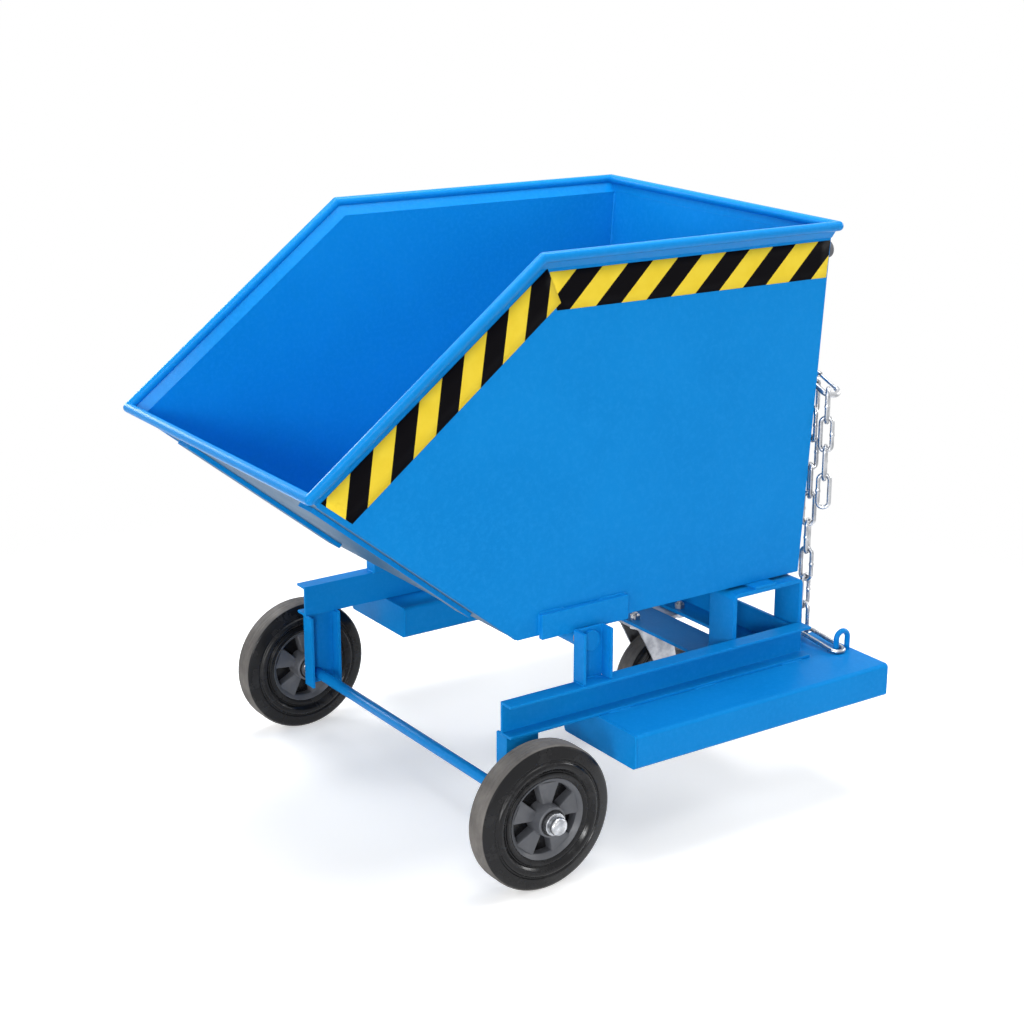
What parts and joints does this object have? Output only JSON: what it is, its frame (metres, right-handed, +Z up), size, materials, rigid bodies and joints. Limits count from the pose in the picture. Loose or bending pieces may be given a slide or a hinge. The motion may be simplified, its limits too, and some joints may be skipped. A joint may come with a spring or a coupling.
{
  "type": "tipping skip trolley",
  "caption": "Sheet-steel tipping skip on a channel-section trolley with fork pockets, plain front wheels, a rear swivel caster and a safety chain.",
  "frame": {"origin": "on the floor under the middle of the trolley's bounding box", "axes": "+X forward towards the pouring lip, +Y to the trolley's left, +Z up"},
  "size_m": [1.071, 0.913, 1.0175],
  "materials": {
    "blue_paint": "satin light-blue enamel",
    "tyre_rubber": "solid rubber, dusty tread",
    "rim_plastic": "moulded dark grey plastic",
    "zinc_plate": "bright zinc plate",
    "galvanised_steel": "zinc-plated pressed steel, dull",
    "bush_bronze": "sintered bronze",
    "bearing_steel": "turned steel"
  },
  "bodies": {
    "chassis": {"left_rail": "blue_paint", "right_rail": "blue_paint", "left_front_post": "blue_paint", "right_front_post": "blue_paint", "left_pivot_post": "blue_paint", "right_pivot_post": "blue_paint", "left_fork_pocket": "blue_paint", "right_fork_pocket": "blue_paint", "left_pocket_cap": "blue_paint", "right_pocket_cap": "blue_paint", "front_cross_plate": "blue_paint", "rear_cross_angle": "blue_paint", "left_rear_support": "blue_paint", "right_rear_support": "blue_paint", "left_support_pad": "blue_paint", "right_support_pad": "blue_paint", "front_axle": "blue_paint", "axle_spacers": "zinc_plate", "axle_washers": "zinc_plate", "axle_nuts": "zinc_plate", "left_pivot_pin": "blue_paint", "right_pivot_pin": "blue_paint", "caster_plate": "galvanised_steel", "caster_kingpin": "galvanised_steel", "caster_bolts": "zinc_plate", "caster_nuts": "zinc_plate", "pocket_eye": "blue_paint", "chain_long_link": "zinc_plate"},
    "skip": {"skip_left_side": "blue_paint", "skip_right_side": "blue_paint", "skip_wrapper": "blue_paint", "skip_left_rim": "blue_paint", "skip_right_rim": "blue_paint", "skip_rear_rim": "blue_paint", "skip_lip_rim": "blue_paint", "left_slope_rib": "blue_paint", "right_slope_rib": "blue_paint", "pivot_tube": "blue_paint", "left_pivot_bush": "bush_bronze", "right_pivot_bush": "bush_bronze", "left_pivot_plate": "blue_paint", "right_pivot_plate": "blue_paint", "wall_eye": "blue_paint", "snap_hook": "zinc_plate", "chain_strand": "zinc_plate", "chain_tail": "zinc_plate"},
    "left_wheel": {"left_tyre": "tyre_rubber", "left_rim": "rim_plastic", "left_wheel_bush": "bearing_steel"},
    "right_wheel": {"right_tyre": "tyre_rubber", "right_rim": "rim_plastic", "right_wheel_bush": "bearing_steel"},
    "caster_swivel": {"caster_fork": "galvanised_steel", "caster_race": "galvanised_steel", "caster_axle": "zinc_plate", "caster_axle_nut": "zinc_plate"},
    "caster_wheel": {"caster_tyre": "tyre_rubber", "caster_rim": "rim_plastic", "caster_bush": "bearing_steel"},
    "hook_gate": {"snap_hook_gate": "zinc_plate"}
  },
  "joints": [
    {"name": "skip_tip", "type": "hinge", "parent": "chassis", "child": "skip", "pos_m": [0.0185, 0, 0.3687], "axis": [0, 1, 0], "range_deg": [0, 65]},
    {"name": "left_wheel_spin", "type": "hinge", "parent": "chassis", "child": "left_wheel", "pos_m": [0.1695, 0.397, 0.125], "axis": [0, 1, 0], "continuous": true},
    {"name": "right_wheel_spin", "type": "hinge", "parent": "chassis", "child": "right_wheel", "pos_m": [0.1695, -0.397, 0.125], "axis": [0, 1, 0], "continuous": true},
    {"name": "caster_turn", "type": "hinge", "parent": "chassis", "child": "caster_swivel", "pos_m": [-0.3475, 0, 0.205], "axis": [0, 0, 1], "continuous": true},
    {"name": "caster_roll", "type": "hinge", "parent": "caster_swivel", "child": "caster_wheel", "pos_m": [-0.3935, 0, 0.1], "axis": [0, 1, 0], "continuous": true},
    {"name": "gate_open", "type": "hinge", "parent": "skip", "child": "hook_gate", "pos_m": [-0.5315, 0.25428, 0.72172], "axis": [0, -0.3746, -0.9272], "range_deg": [0, 25], "stiffness_Nm_per_rad": 0.1, "springref_deg": -11.46}
  ]
}
